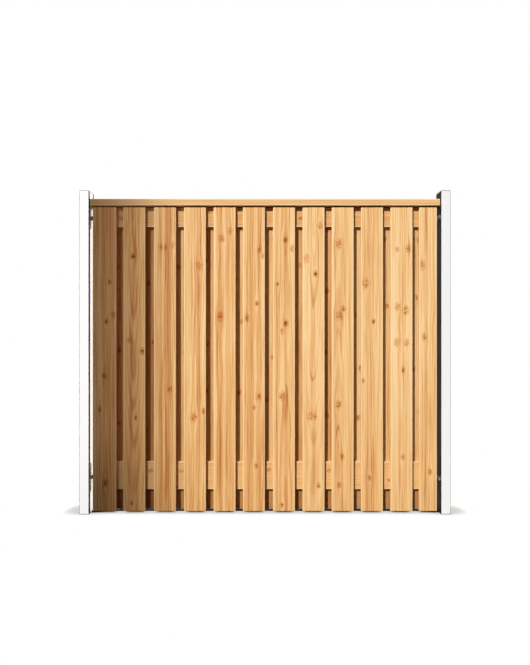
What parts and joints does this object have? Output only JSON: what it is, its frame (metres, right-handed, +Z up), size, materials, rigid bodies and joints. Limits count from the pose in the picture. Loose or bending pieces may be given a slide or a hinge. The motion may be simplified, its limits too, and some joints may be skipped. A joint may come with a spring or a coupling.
{
  "type": "garden screen panel with two posts, one bay of double-sided board fence",
  "caption": "Garden screen bay: upright softwood boards staggered on the front and back of two rails under a cap board, hung between two slim hollow metal posts on angle brackets.",
  "frame": {"origin": "middle of the left post's foot, at ground level", "axes": "+X along the screen from the left post to the right one, +Y from the front of the screen to its back, +Z up"},
  "size_m": [1.932, 0.1, 1.686],
  "materials": {
    "planed_boards": "planed softwood, untreated, upright grain",
    "rail_timber": "planed softwood, untreated, grain along the rail",
    "cap_board": "planed softwood, untreated, grain along the cap",
    "post_coating": "extruded aluminium, dark grey powder coat, fine matt",
    "cover_strip": "extruded aluminium, white powder coat, satin",
    "plug_plastic": "grey moulded plastic, fine matt",
    "bracket_steel": "galvanised sheet steel"
  },
  "bodies": {
    "root": {"top_cap": "cap_board", "top_rail": "rail_timber", "bottom_rail": "rail_timber", "front_board_01": "planed_boards", "front_board_02": "planed_boards", "front_board_03": "planed_boards", "front_board_04": "planed_boards", "front_board_05": "planed_boards", "front_board_06": "planed_boards", "front_board_07": "planed_boards", "front_board_08": "planed_boards", "front_board_09": "planed_boards", "front_board_10": "planed_boards", "front_board_11": "planed_boards", "front_board_12": "planed_boards", "back_board_01": "planed_boards", "back_board_02": "planed_boards", "back_board_03": "planed_boards", "back_board_04": "planed_boards", "back_board_05": "planed_boards", "back_board_06": "planed_boards", "back_board_07": "planed_boards", "back_board_08": "planed_boards", "back_board_09": "planed_boards", "back_board_10": "planed_boards", "back_board_11": "planed_boards", "left_post": "post_coating", "left_post_plug": "plug_plastic", "left_post_front_strip": "cover_strip", "left_post_back_strip": "cover_strip", "left_post_side_strip": "cover_strip", "left_lower_bracket": "bracket_steel", "left_upper_bracket": "bracket_steel", "right_post": "post_coating", "right_post_plug": "plug_plastic", "right_post_front_strip": "cover_strip", "right_post_back_strip": "cover_strip", "right_post_side_strip": "cover_strip", "right_lower_bracket": "bracket_steel", "right_upper_bracket": "bracket_steel"}
  },
  "joints": []
}
